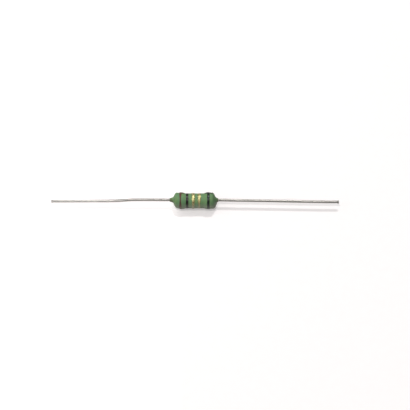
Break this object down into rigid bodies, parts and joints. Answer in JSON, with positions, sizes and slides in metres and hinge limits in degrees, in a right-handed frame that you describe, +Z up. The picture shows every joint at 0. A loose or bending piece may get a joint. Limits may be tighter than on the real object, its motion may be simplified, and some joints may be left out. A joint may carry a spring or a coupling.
{
  "type": "noninductive wirewound resistor",
  "caption": "Axial wirewound power resistor with counter-wound noninductive wires, a green lacquer coat, painted colour bands and bare tinned leads.",
  "frame": {"origin": "on the surface that the body lies on, under the middle of the whole length with its leads, at the foot of the widest band", "axes": "+X along the body and the leads, towards the black band on the bulge; +Z up from the surface that it lies on"},
  "size_m": [0.0805, 0.0046, 0.0047],
  "materials": {
    "ceramic": "matte",
    "steel": "satin",
    "tinned_copper": "satin",
    "resistance_wire": "satin",
    "lacquer": "satin",
    "brown_paint": "satin",
    "black_paint": "satin",
    "gold_paint": "satin"
  },
  "bodies": {
    "root": {"ceramic_core": "ceramic", "end_cap_left": "steel", "end_cap_right": "steel", "lead_left": "tinned_copper", "lead_right": "tinned_copper", "winding_forward": "resistance_wire", "winding_return": "resistance_wire", "coating": "lacquer", "band_1_brown": "brown_paint", "band_2_black": "black_paint", "band_3_gold": "gold_paint", "band_4_gold": "gold_paint", "band_5_black": "black_paint"}
  },
  "joints": []
}
